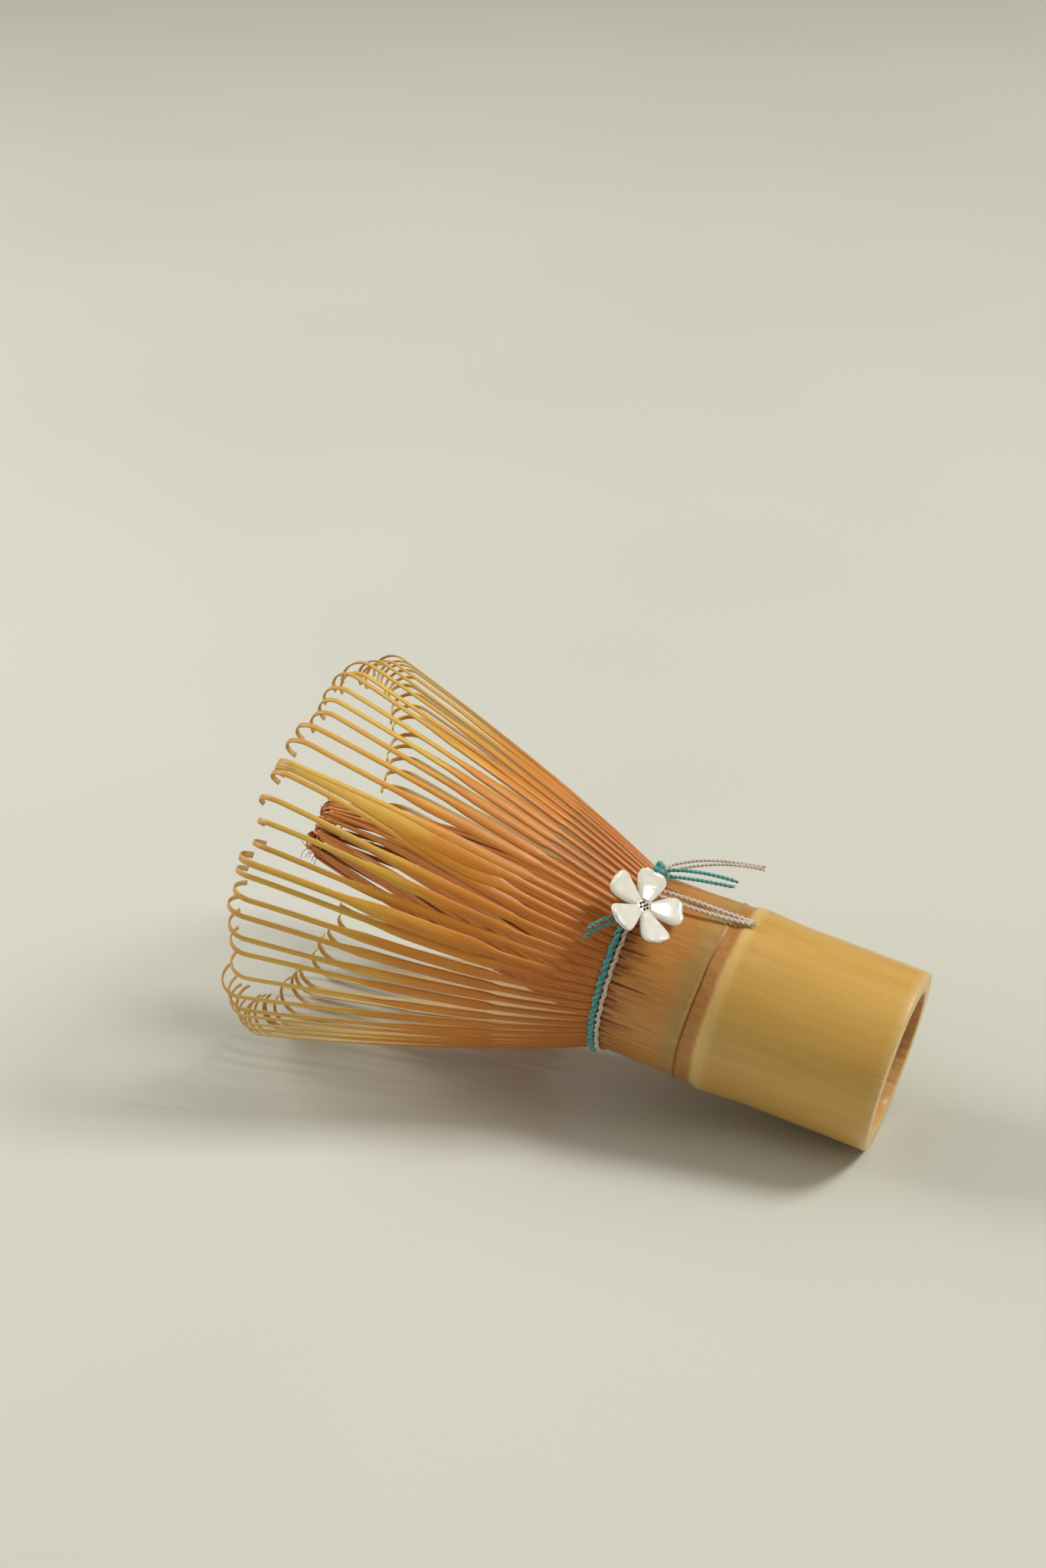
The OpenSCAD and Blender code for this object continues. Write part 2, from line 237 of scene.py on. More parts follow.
def make_camera():
    """The photograph's view, from above the flank with the charm."""
    target = Vector((-9.9, 0, 46.2)) * MM
    azimuth = math.radians(22.4)
    elevation = math.radians(28.3)
    distance = 371 * MM
    flat = math.cos(elevation)
    back = Vector((math.sin(azimuth) * flat, -math.cos(azimuth) * flat, math.sin(elevation)))
    data = bpy.data.cameras.new("camera")
    data.lens = 59.5
    data.sensor_width = 36
    data.clip_start = 0.01
    camera = bpy.data.objects.new("camera", data)
    camera.location = target + back * distance
    camera.rotation_euler = (-back).to_track_quat("-Z", "Y").to_euler()
    bpy.context.scene.collection.objects.link(camera)
    bpy.context.scene.camera = camera


def make_light(name, place, size, power, colour):
    """A square soft box that faces the middle of the whisk."""
    aim = Vector((0, 0, 0.03))
    data = bpy.data.lights.new(name, "AREA")
    data.size = size
    data.energy = power
    data.color = colour
    light = bpy.data.objects.new(name, data)
    light.location = place
    light.rotation_euler = (Vector(place) - aim).to_track_quat("Z", "Y").to_euler()
    bpy.context.scene.collection.objects.link(light)


def make_studio():
    """Pale floor, a key light from the right and behind, a soft fill and a warm surround."""
    make_light("key_light", (0.85, 0.45, 1.15), 0.4, 15.5, (1.0, 0.97, 0.9))
    make_light("fill_light", (-0.75, -0.05, 0.5), 0.55, 5.0, (1.0, 0.98, 0.94))
    surround = bpy.data.worlds.new("surround")
    surround.use_nodes = True
    background = surround.node_tree.nodes["Background"]
    background.inputs["Color"].default_value = (1.0, 0.9, 0.72, 1)
    background.inputs["Strength"].default_value = 0.3
    scene = bpy.context.scene
    scene.world = surround
    scene.view_settings.view_transform = "Standard"

    half = 2.5
    corners = [(-half, -half, 0), (half, -half, 0), (half, half, 0), (-half, half, 0)]
    mesh = bpy.data.meshes.new("floor")
    mesh.from_pydata(corners, [], [(0, 1, 2, 3)])
    floor = bpy.data.objects.new("floor", mesh)
    scene.collection.objects.link(floor)
    mesh.materials.append(floor_material())


# ---------------------------------------------------------------- material building blocks

def srgb(red, green, blue):
    """A colour given as 0 to 255 on screen, as the linear value that a node takes."""
    def linear(v):
        v /= 255
        return v / 12.92 if v <= 0.04045 else ((v + 0.055) / 1.055) ** 2.4
    return (linear(red), linear(green), linear(blue), 1)


class Shader:
    """A material that is built up node by node."""

    def __init__(self, name, roughness=0.5, **settings):
        self.material = bpy.data.materials.new(name)
        self.material.use_nodes = True
        self.tree = self.material.node_tree
        self.surface = self.tree.nodes["Principled BSDF"]
        self.surface.inputs["Roughness"].default_value = roughness
        for socket, value in settings.items():
            self.surface.inputs[socket.replace("_", " ")].default_value = value

    def node(self, kind, *inputs, **settings):
        """Adds a node; each input is a link to make, a value to set, or None to leave alone."""
        made = self.tree.nodes.new("ShaderNode" + kind)
        for name, value in settings.items():
            setattr(made, name, value)
        for socket, value in zip(made.inputs, inputs):
            self.put(socket, value)
        return made

    def put(self, socket, value):
        if isinstance(value, bpy.types.NodeSocket):
            self.tree.links.new(value, socket)
        elif value is not None:
            socket.default_value = value

    def attribute(self, name):
        """The vector that each corner of a mesh carries under this name."""
        return self.node("Attribute", attribute_name=name).outputs["Vector"]

    def stretched(self, vector, x, y, z):
        made = self.node("Mapping", vector)
        made.inputs["Scale"].default_value = (x, y, z)
        return made.outputs[0]

    def parts(self, vector):
        return self.node("SeparateXYZ", vector).outputs

    def noise(self, vector, scale, detail=3.0, roughness=0.55):
        made = self.node("TexNoise", vector)
        made.inputs["Scale"].default_value = scale
        made.inputs["Detail"].default_value = detail
        made.inputs["Roughness"].default_value = roughness
        return made.outputs[0]

    def math(self, operation, a, b=0.0):
        return self.node("Math", a, b, operation=operation).outputs[0]

    def range(self, value, low, high, to_low=0.0, to_high=1.0):
        """value carried from low..high to to_low..to_high, with smooth ends."""
        made = self.node("MapRange", value, low, high, to_low, to_high)
        made.interpolation_type = "SMOOTHSTEP"
        return made.outputs[0]

    def ramp(self, value, *stops):
        """Colours along value; each stop is a place from 0 to 1 and a colour."""
        made = self.node("ValToRGB", value)
        band = made.color_ramp.elements
        while len(band) < len(stops):
            band.new(0.5)
        for element, (place, colour) in zip(band, stops):
            element.position = place
            element.color = colour
        return made.outputs[0]

    def blend(self, amount, a, b, how="MIX"):
        """Colour a turning into colour b as amount goes from 0 to 1."""
        made = self.node("Mix", data_type="RGBA", blend_type=how)
        self.put(made.inputs["Factor"], amount)
        self.put(made.inputs[6], a)
        self.put(made.inputs[7], b)
        return made.outputs[2]

    def finish(self, colour, roughness=None, height=None, depth=0.05):
        """Connects colour, roughness and bump; depth is the bump's height in millimetres."""
        self.put(self.surface.inputs["Base Color"], colour)
        if roughness is not None:
            self.put(self.surface.inputs["Roughness"], roughness)
        if height is not None:
            made = self.node("Bump")
            made.inputs["Strength"].default_value = 1.0
            made.inputs["Distance"].default_value = depth * MM
            self.put(made.inputs["Height"], height)
            self.put(self.surface.inputs["Normal"], made.outputs[0])
        return self.material


# ---------------------------------------------------------------- materials

def floor_material():
    """Matt pale board with faint marks."""
    made = Shader("floor_board", roughness=0.75)
    place = made.node("TexCoord").outputs["Object"]
    cloud = made.noise(place, 6, 2)
    speck = made.noise(place, 900, 2)
    colour = made.ramp(cloud, (0.35, srgb(199, 202, 195)), (0.65, srgb(203, 206, 200)))
    return made.finish(colour, height=speck, depth=0.02)


def culm_material():
    """Bamboo skin: fine lengthwise fibres, a pale ridge, a brown nodal band, and painted shade in
    the saw cuts.

    Grain is a place round the culm and a height that follows the slant of the scar; shade is
    the saw-cut mask, which carries the painted shade of the slits, the fresh cut and the hollow.
    """
    made = Shader("bamboo_skin", roughness=0.36, Coat_Weight=0.18, Coat_Roughness=0.25)
    grain = made.attribute("grain")
    kerf_slot_shade, cut, hollow = made.parts(made.attribute("shade"))
    height = made.parts(grain)[2]
    fine = made.noise(made.stretched(grain, 5.0, 1.0, 0.09), 1.6, 4, 0.6)
    broad = made.noise(made.stretched(grain, 0.22, 0.3, 0.05), 1.0, 3)
    blotch = made.noise(made.stretched(grain, 0.5, 0.5, 0.35), 1.0, 4, 0.6)
    streak = made.noise(made.stretched(grain, 2.2, 1.0, 0.16), 1.0, 3)
    wavy = made.math("ADD", height, made.range(blotch, 0.3, 0.7, -0.1, 0.1))

    straw = made.ramp(broad, (0.3, srgb(203, 157, 74)), (0.7, srgb(213, 172, 90)))
    straw = made.blend(made.range(fine, 0.35, 0.7, 0.0, 0.16), straw, srgb(184, 136, 60))
    crest = made.math("MULTIPLY", made.range(wavy, RIDGE_Z - 1.7, RIDGE_Z - 0.3), 0.6)
    colour = made.blend(crest, straw, srgb(226, 194, 122))
    node_band = made.range(wavy, RIDGE_Z + 0.3, RIDGE_Z + 1.2)
    reddish = made.ramp(blotch, (0.35, srgb(176, 118, 58)), (0.65, srgb(188, 134, 68)))
    colour = made.blend(node_band, colour, reddish)
    neck = made.range(height, SCAR_Z - 0.05, SCAR_Z + 0.25)
    greenish = made.ramp(broad, (0.35, srgb(164, 128, 70)), (0.65, srgb(182, 144, 80)))
    colour = made.blend(neck, colour, greenish)
    tan = made.blend(made.range(streak, 0.35, 0.7), srgb(200, 142, 66), srgb(186, 122, 52))
    colour = made.blend(made.range(wavy, 29.0, 33.5), colour, tan)
    stain = made.math("MULTIPLY", made.range(wavy, 34.5, 40.5),
                      made.range(streak, 0.42, 0.6, 0.1, 0.7))
    colour = made.blend(stain, colour, srgb(154, 86, 34))
    # Painted shade: each saw cut is painted dark brown where the shade inside the slit would fall
    colour = made.blend(kerf_slot_shade, colour, srgb(112, 58, 22))
    cream = made.blend(made.range(fine, 0.3, 0.7), srgb(228, 198, 136), srgb(208, 170, 104))
    colour = made.blend(cut, colour, cream)
    pith = made.ramp(blotch, (0.3, srgb(196, 140, 78)), (0.7, srgb(216, 170, 108)))
    colour = made.blend(hollow, colour, pith)

    dull = made.math("MAXIMUM", made.range(height, 26.0, 30.0, 0.36, 0.5),
                     made.math("MULTIPLY", hollow, 0.8))
    rough = made.math("ADD", dull, made.range(fine, 0.3, 0.7, -0.05, 0.08))
    relief = made.math("ADD", made.math("MULTIPLY", fine, 0.5), made.math("MULTIPLY", streak, 0.5))
    return made.finish(colour, rough, relief, 0.06)


def tine_material():
    """Split bamboo: orange and fibrous low down, golden and satin towards the shaved tips.

    Grain is across, depth and height, shifted from tine to tine; shade is the pale inner face,
    the darker bend and the tine's own tone.
    """
    made = Shader("bamboo_tine", roughness=0.4, Coat_Weight=0.12, Coat_Roughness=0.3)
    grain = made.attribute("grain")
    inside, bend, tone = made.parts(made.attribute("shade"))
    height = made.parts(grain)[2]
    fibre = made.noise(made.stretched(grain, 7.0, 4.0, 0.12), 1.3, 4, 0.6)
    patch = made.noise(made.stretched(grain, 0.6, 0.6, 0.09), 1.0, 3)
    place = made.math("ADD", height, made.range(patch, 0.3, 0.7, -5.0, 5.0))
    body = made.ramp(made.range(place, 42, 94),
                     (0.0, srgb(196, 112, 28)), (0.22, srgb(216, 134, 34)),
                     (0.5, srgb(228, 152, 46)), (0.7, srgb(238, 190, 74)),
                     (1.0, srgb(236, 202, 96)))
    body = made.blend(made.range(fibre, 0.4, 0.7, 0.0, 0.35), body, srgb(186, 104, 26))
    body = made.blend(made.math("MULTIPLY", tone, 0.3), body, srgb(206, 122, 38))
    body = made.blend(made.math("MULTIPLY", bend, 0.55), body, srgb(176, 112, 46))
    flesh = made.blend(made.range(fibre, 0.35, 0.7), srgb(226, 205, 160), srgb(205, 176, 122))
    colour = made.blend(made.math("MULTIPLY", inside, 0.85), body, flesh)
    rough = made.range(fibre, 0.3, 0.7, 0.34, 0.52)
    return made.finish(colour, rough, fibre, 0.05)


def inner_material():
    """The inner tines: thinner, darker and glossier splits of the culm's inner wood."""
    made = Shader("bamboo_inner", roughness=0.34, Coat_Weight=0.25, Coat_Roughness=0.2)
    grain = made.attribute("grain")
    tip, _, tone = made.parts(made.attribute("shade"))
    fibre = made.noise(made.stretched(grain, 8.0, 4.0, 0.1), 1.3, 4, 0.6)
    patch = made.noise(made.stretched(grain, 0.5, 0.5, 0.07), 1.0, 3)
    body = made.ramp(patch, (0.3, srgb(196, 108, 34)), (0.7, srgb(218, 140, 54)))
    body = made.blend(made.range(fibre, 0.4, 0.7, 0.0, 0.5), body, srgb(150, 82, 30))
    body = made.blend(made.math("MULTIPLY", tone, 0.5), body, srgb(226, 164, 90))
    colour = made.blend(made.math("MULTIPLY", tip, 0.6), body, srgb(160, 90, 40))
    rough = made.range(fibre, 0.3, 0.7, 0.26, 0.42)
    return made.finish(colour, rough, fibre, 0.05)


def thread_material(name, light, dark):
    """Twisted thread: fine filaments along each ply. Grain is round, ply and length."""
    made = Shader(name, roughness=0.85, Sheen_Weight=0.35, Sheen_Roughness=0.5)
    grain = made.attribute("grain")
    filament = made.noise(made.stretched(grain, 2.2, 3.0, 1.1), 2.0, 3, 0.7)
    worn = made.noise(made.stretched(grain, 0.3, 1.0, 0.25), 1.0, 3)
    colour = made.blend(made.range(filament, 0.35, 0.65), dark, light)
    colour = made.blend(made.range(worn, 0.5, 0.75, 0.0, 0.35), colour, light)
    return made.finish(colour, None, filament, 0.09)


def metal_material():
    """Rose-gold plate with fine polish marks and a little tarnish."""
    made = Shader("rose_metal", roughness=0.24, Metallic=1.0)
    place = made.attribute("grain")
    mark = made.noise(made.stretched(place, 1.0, 6.0, 1.0), 2.5, 3)
    tarnish = made.noise(place, 0.9, 3)
    colour = made.ramp(tarnish, (0.35, srgb(206, 140, 104)), (0.68, srgb(232, 176, 138)))
    return made.finish(colour, made.range(mark, 0.3, 0.7, 0.16, 0.34), mark, 0.01)


def enamel_material():
    """Glossy white enamel, with a soft unevenness under the gloss."""
    made = Shader("white_enamel", roughness=0.16, Coat_Weight=0.8, Coat_Roughness=0.06,
                  Subsurface_Weight=0.08, Subsurface_Scale=0.0006)
    place = made.attribute("grain")
    pool = made.noise(place, 0.8, 2)
    grain = made.noise(place, 6, 2)
    colour = made.ramp(pool, (0.35, srgb(232, 231, 224)), (0.68, srgb(243, 243, 238)))
    return made.finish(colour, made.range(grain, 0.3, 0.7, 0.1, 0.22), pool, 0.05)


def seed_material():
    """Brown-purple enamel dots."""
    made = Shader("seed_enamel", roughness=0.3, Coat_Weight=0.5, Coat_Roughness=0.1)
    place = made.attribute("grain")
    speck = made.noise(place, 3.0, 2)
    colour = made.ramp(speck, (0.35, srgb(86, 48, 50)), (0.65, srgb(122, 76, 70)))
    return made.finish(colour, made.range(speck, 0.3, 0.7, 0.22, 0.4), speck, 0.02)


# ---------------------------------------------------------------- mesh building blocks

class Surface:
    """A mesh in the whisk's frame, with a grain and a shade at every corner for its material."""

    def __init__(self):
        self.points = []
        self.faces = []
        self.grain = []
        self.shade = []

    def corner(self, point, grain, shade=(0, 0, 0)):
        self.points.append(world(point))
        self.grain.append(grain)
        self.shade.append(shade)

    def skin(self, rings):
        """Joins rings of corners, each a point, its grain and its shade, and closes both ends."""
        size = len(rings[0])
        first = len(self.points)
        last = first + size * (len(rings) - 1)
        for ring in rings:
            for corner in ring:
                self.corner(*corner)
        for start in range(first, last, size):
            for i in range(size):
                j = (i + 1) % size
                self.faces.append((start + i, start + j, start + size + j, start + size + i))
        self.faces.append(tuple(range(first + size - 1, first - 1, -1)))
        self.faces.append(tuple(range(last, last + size)))

    def piece(self, name, material, body, nodes):
        """Makes the Blender object, with its normals outward, in place of its CAD nodes."""
        mesh = bpy.data.meshes.new(name)
        mesh.from_pydata(self.points, [], self.faces)
        for label, values in (("grain", self.grain), ("shade", self.shade)):
            layer = mesh.attributes.new(label, "FLOAT_VECTOR", "POINT")
            layer.data.foreach_set("vector", [v for value in values for v in value])
        shell = bmesh.new()
        shell.from_mesh(mesh)
        bmesh.ops.recalc_face_normals(shell, faces=shell.faces)
        shell.to_mesh(mesh)
        shell.free()
        mesh.shade_smooth()
        mesh.materials.append(material)
        made = bpy.data.objects.new(name, mesh)
        bpy.context.scene.collection.objects.link(made)
        if body:
            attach(made, body)
        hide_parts(*nodes)
        return made


def headings(path):
    """The unit direction of travel at each point of a path."""
    last = len(path) - 1
    return [(path[min(i + 1, last)] - path[max(i - 1, 0)]).normalized() for i in range(last + 1)]


def resampled(path, step):
    """The same path with points every step along it."""
    out = [path[0]]
    carried = 0.0
    for a, b in zip(path, path[1:]):
        length = (b - a).length
        while length > 0 and carried + length >= step:
            share = (step - carried) / length
            a = a.lerp(b, share)
            out.append(a)
            length = (b - a).length
            carried = 0.0
        carried += length
    out.append(path[-1])
    return out


def frames(path):
    """Two directions across the path at each point, carried along without twist."""
    directions = headings(path)
    across = directions[0].orthogonal().normalized()
    out = []
    for heading in directions:
        across = (across - heading * across.dot(heading)).normalized()
        out.append((across, heading.cross(across)))
    return out


def tube(surface, path, radius, sides=8, ply=0.0):
    """A round wire along a path; radius is a number or a function of the part travelled."""
    thickness = radius if callable(radius) else lambda t: radius
    length = 0.0
    rings = []
    for i, (point, (u, v)) in enumerate(zip(path, frames(path))):
        if i:
            length += (point - path[i - 1]).length
        r = thickness(i / (len(path) - 1))
        ring = []
        for k in range(sides):
            turn = math.tau * k / sides
            place = point + (u * math.cos(turn) + v * math.sin(turn)) * r
            ring.append((place, (math.cos(turn) + math.sin(turn), ply, length)))
        rings.append(ring)
    surface.skin(rings)


def twisted(surface, path, radius, pitch, plies=2, seed=0):
    """A thread of plies that wind round each other along a path."""
    path = resampled(path, pitch / 9)
    lift = radius * PLY_OFFSET
    across = frames(path)
    length = [0.0]
    for a, b in zip(path, path[1:]):
        length.append(length[-1] + (b - a).length)
    for ply in range(plies):
        strand = []
        for point, (u, v), s in zip(path, across, length):
            turn = math.tau * (s / pitch + ply / plies)
            strand.append(point + (u * math.cos(turn) + v * math.sin(turn)) * lift)
        tube(surface, strand, radius * PLY_R, 7, seed * 5.0 + ply * 2.3)


def bezier(points, count=24):
    """A cubic curve with four control points."""
    a, b, c, d = points
    return [a * (1 - t) ** 3 + b * 3 * t * (1 - t) ** 2 + c * 3 * t * t * (1 - t) + d * t ** 3
            for t in span(0.0, 1.0, count)]


# ---------------------------------------------------------------- handle, node and neck

# Saw cuts between the tines: most end just below the thread, a few run further down the neck
KERFS = GROUPS * TINES_PER_GROUP
KERF_HALF_W = 0.2
KERF_DEPTH = 0.3
CORNERS_PER_KERF = 8
LONG_KERF_SHARE = 0.2
LONG_KERF_END = (34.5, 36.5)
SHORT_KERF_END = (37.8, 39.4)
kerf_draw = random.Random(11)
KERF_END_Z = [kerf_draw.uniform(*LONG_KERF_END) if kerf_draw.random() < LONG_KERF_SHARE
              else kerf_draw.uniform(*SHORT_KERF_END) for _ in range(KERFS)]


def kerf_amount(a, z):
    """1 in the middle of a saw cut, 0 on the wood between; it sinks the groove and sets its painted
    shade.
    """
    index = round(a / TINE_STEP) % KERFS
    off = abs(a / TINE_STEP - round(a / TINE_STEP)) * TINE_STEP
    depth = (z - KERF_END_Z[index]) / (NECK_Z - KERF_END_Z[index])
    if depth <= 0:
        return 0.0
    half = KERF_HALF_W * depth ** 0.45
    return ease(1.5 - math.radians(off) * NECK_R / half) * ease(depth * 3 + 0.15)


def round_noise(turn, scale, along):
    """Smooth noise on a cylinder; scale sets how many bumps go round it."""
    return value_noise(Vector((scale * math.cos(turn), scale * math.sin(turn), along)))


def scar_z(a):
    """Height of the sheath scar, which runs a little aslant round the culm."""
    turn = math.radians(a)
    slant = SCAR_SLANT * math.cos(turn - SCAR_SLANT_TURN)
    return SCAR_Z - slant + SCAR_WAVER * round_noise(turn, 2, 9.0)


def culm_radius(a, z):
    """Radius of the skin, with the ridge, the sheath scar and its lip, the waist and the cuts."""
    turn = math.radians(a)
    uneven = round_noise(turn, 2.2, z * 0.05)
    rough = round_noise(turn, 9, z * 0.9)
    crest = RIDGE_Z + 0.2 * round_noise(turn, 3, 4.0)
    swell = ease((z - crest + RIDGE_RUN) / RIDGE_RUN) - ease((z - crest) / RIDGE_FALL)
    r = HANDLE_R + RIDGE_RISE * swell
    scar = scar_z(a)
    r -= SCAR_DEPTH * bump((z - scar) / SCAR_HALF_W)
    r += SCAR_LIP * bump((z - scar - SCAR_LIP_HALF_W) / SCAR_LIP_HALF_W)
    r += (NECK_R - HANDLE_R) * ease((z - scar - 2 * SCAR_LIP_HALF_W) / NECK_RUN)
    r += 0.05 * uneven + 0.03 * rough * bump((z - crest) / 1.5) - 0.04
    return r - KERF_DEPTH * kerf_amount(a, z)


def culm_stations():
    """Radius, height and kind of each ring, from the septum out over the rim and in at the neck."""
    wall_top = SEPTUM_Z + SEPTUM_T
    # The rings stand closer at the ridge, the scar and the cuts
    skin_heights = (span(0.35, 21.0, 18) + span(21.4, 28.2, 22) + span(28.3, 29.4, 14)
                    + span(29.8, 36.8, 16) + span(37.0, NECK_Z, 24))
    stations = [(r, SEPTUM_Z + 0.3 * (1 - r / BORE_R), "hollow")
                for r in span(0.4, BORE_R - 0.2, 5)]
    stations += [(BORE_R, z, "hollow") for z in span(SEPTUM_Z - 0.3, 0.25, 14)]
    stations += [(r, 0.0, "cut") for r in span(BORE_R + 0.15, HANDLE_R - RIM_BEVEL, 5)]
    stations += [(HANDLE_R - 0.12, 0.12, "cut")]
    stations += [(0.0, z, "skin") for z in skin_heights]
    stations += [(r, NECK_Z, "cut") for r in span(NECK_R - 0.6, NECK_BORE_R + 0.1, 3)]
    stations += [(NECK_BORE_R, z, "hollow") for z in span(NECK_Z - 0.2, wall_top + 0.2, 5)]
    stations += [(r, wall_top, "hollow") for r in span(NECK_BORE_R - 0.3, 0.4, 4)]
    return stations


def culm():
    """One length of bamboo with a wall inside the node, turned as rings about the axis."""
    steps = KERFS * CORNERS_PER_KERF
    rings = []
    for r, z, kind in culm_stations():
        ring = []
        for i in range(steps):
            a = 360 * i / steps
            turn = math.radians(a)
            spot = Vector((math.cos(turn), math.sin(turn), 0))
            if kind == "skin":
                radius, height = culm_radius(a, z), z
                # The first part, the saw-cut mask, places the painted shade of the slits in
                # culm_material
                shade = (kerf_amount(a, z), ease((0.7 - z) / 0.6), 0)
            else:
                coarse = value_noise(spot * 14 + Vector((0, 0, z * 0.4)))
                radius = r + (0.1 * coarse if kind == "hollow" and r > 9 else 0)
                height = z + (0.05 * abs(coarse) if z == 0.0 else 0)
                shade = (0, 1, 0) if kind == "cut" else (0, 0, 1)
            level = height - (scar_z(a) - SCAR_Z) * bump((height - SCAR_Z) / SCAR_GRAIN_REACH)
            grain = (2 * HANDLE_R * math.sin(turn), 2 * HANDLE_R * math.cos(turn), level)
            ring.append((polar(radius, a, height), grain, shade))
        rings.append(ring)
    surface = Surface()
    surface.skin(rings)
    surface.piece("culm_bamboo", culm_material(), "culm", ["culm"])


# ---------------------------------------------------------------- outer tines

# Tines within REST_ANGLE of the underside are pressed in by the floor, a little further than they
# need to be, so that they clear it
REST_ANGLE = 2.5 * TINE_STEP
PRESS_SPARE = 1.03


def press(a):
    """Slope that the floor adds to a tine at angle a."""
    off = min(abs(a - 180), abs(a + 180))
    if off >= REST_ANGLE:
        return 0.0
    rise = CURL_MIDDLE_R + CURL_R
    gap = rise * (math.cos(math.radians(off)) - math.cos(math.radians(REST_ANGLE)))
    return gap / (CURL_MIDDLE_Z - ROOT_Z) * PRESS_SPARE


# The tips on the near flank lean a little round the culm
TIP_LEAN = 8.3
# Tips that stand together: angle that they gather at, reach and how far they are drawn in
CLUSTERS = ((-39.2, 5.0, 0.62), (-61.8, 3.6, 0.75), (-2.0, 4.0, 0.7), (24.0, 4.2, 0.55),
            (142.0, 4.0, 0.6), (-128.0, 3.8, 0.5))


def tip_angle(a, draw):
    """Where a tine that starts at angle a ends: a slight lean on one flank, and gathered tips."""
    lean = TIP_LEAN * ease((a + 118) / 24) * ease((-34 - a) / 14)
    end = a + lean + draw.uniform(-1.0, 1.0)
    for centre, reach, pull in CLUSTERS:
        if abs(end - centre) < reach:
            end += (centre - end) * pull
    return end


# Blades that were never split right through: their angle, and their width against a common blade.
# A tine is wide if its tip ends within WIDE_REACH of the angle
WIDE_BLADES = ((-39.2, 2.2), (-64.3, 1.5), (-3.0, 1.5), (21.3, 1.5))
WIDE_REACH = 2.1
# Other tines that end within TUCKED_REACH of the angle are set back
TUCKED_REACH = 5.5
TUCKED_DEPTH = 0.6


def blade_gain(end):
    """How wide a tine that ends at this angle is, against a common one."""
    for angle, gain in WIDE_BLADES:
        if abs(end - angle) < WIDE_REACH:
            return gain
    return 1.0


def tine_width(z, narrow_z, gain):
    """Bars between the saw cuts, then the shaved blade, then the fine tip."""
    blade = mix(TINE_ROOT_W, TINE_BLADE_W * gain, ease((z - 55.0) / (1.2 + 7 * (gain - 1))))
    narrowed = ease((z - narrow_z) / (5 * gain))
    shaved = mix(1.0, TINE_NARROWED / gain ** 0.4, narrowed)
    return blade * shaved * mix(1.0, TINE_TIP_NARROWED, ease((z - 84) / 10))


def tine_thickness(z):
    """Thick at the root, and shaved thinner in two steps."""
    return mix(TINE_ROOT_T, TINE_BLADE_T, ease((z - 44) / 12)) - 0.2 * ease((z - 58) / 28)


def flare(z):
    """Radius of a tine's outer face at height z, below the curl."""
    t = (z - ROOT_Z) / (FLARE_TOP_Z - ROOT_Z)
    spread = ROOT_R + (FLARE_TOP_R - ROOT_R) * t + 4 * FLARE_BULGE * t * (1 - t)
    return mix(NECK_R - 0.05, spread, ease((z - 40.3) / 2.6))


def tine_path(a, draw):
    """Points and bend of one tine: leaving the neck, flaring out, and curling in at the tip."""
    end = tip_angle(a, draw)
    curl_r = draw.uniform(3.3, 4.2)
    turn = math.radians(draw.uniform(108, 140))
    short = draw.uniform(0.0, 1.2)
    inward = draw.uniform(0.0, 0.9)
    if blade_gain(end) > 1:
        inward = 0.0
    elif any(abs(end - angle) < TUCKED_REACH for angle, _ in WIDE_BLADES):
        inward += TUCKED_DEPTH
    side = draw.uniform(-2.2, 2.2)
    sway = draw.uniform(-0.5, 0.5)
    start_z = TIP_Z - short - curl_r * CURL_RISE
    lifted = press(a)
    heading = math.atan2(flare(start_z + 0.5) - flare(start_z - 0.5), 1.0) - lifted

    def angle(z):
        t = (z - ROOT_Z) / (start_z - ROOT_Z)
        return mix(a, end, ease(t) * 0.6 + 0.4 * clamp(t)) + sway * math.sin(math.pi * clamp(t) * 2)

    points = []
    for z in span(40.4, 57.0, 14) + span(58.0, start_z, 18):
        r = flare(z) - inward * ease((z - 47) / 38) - lifted * max(0.0, z - ROOT_Z)
        points.append((polar(r, angle(z), z), 0.0))
    centre_z = start_z + curl_r * math.sin(heading)
    start_r = flare(start_z) - inward - lifted * (start_z - ROOT_Z)
    centre_r = start_r - curl_r * math.cos(heading)
    for t in span(0.0, 1.0, 14)[1:]:
        h = heading - turn * t
        tight = curl_r * (1 - CURL_TIGHTENING * t * t)
        place = polar(centre_r + tight * math.cos(h), end + side * t * t,
                      centre_z - tight * math.sin(h))
        points.append((place, math.sin(math.pi * min(1.0, t * 1.15))))
    return points


def strip(surface, path, width, thickness, shift, shades, roll=0.0):
    """A thin split of bamboo with broken edges; its outer face follows the path."""
    rings = []
    centres = [point for point, _ in path]
    for (point, bend), along, shade in zip(path, headings(centres), shades):
        around = Vector((-point.y, point.x, 0)).normalized()
        across = (around - along * around.dot(along)).normalized()
        outward = across.cross(along)
        across = across * math.cos(roll) + outward * math.sin(roll)
        outward = across.cross(along)
        w = width(point.z) / 2
        h = thickness(point.z) / 2
        c = min(w, h) * 0.45
        middle = point - outward * h
        ring = []
        for u, v in ((-w, c - h), (-w, h - c), (c - w, h), (w - c, h),
                     (w, h - c), (w, c - h), (w - c, -h), (c - w, -h)):
            inner_face = 1.0 if v < 0 and bend < 0.5 else 0.0
            place = middle + across * u + outward * v
            ring.append((place, (u + shift, v, point.z), (inner_face, shade[0], shade[1])))
        rings.append(ring)
    surface.skin(rings)


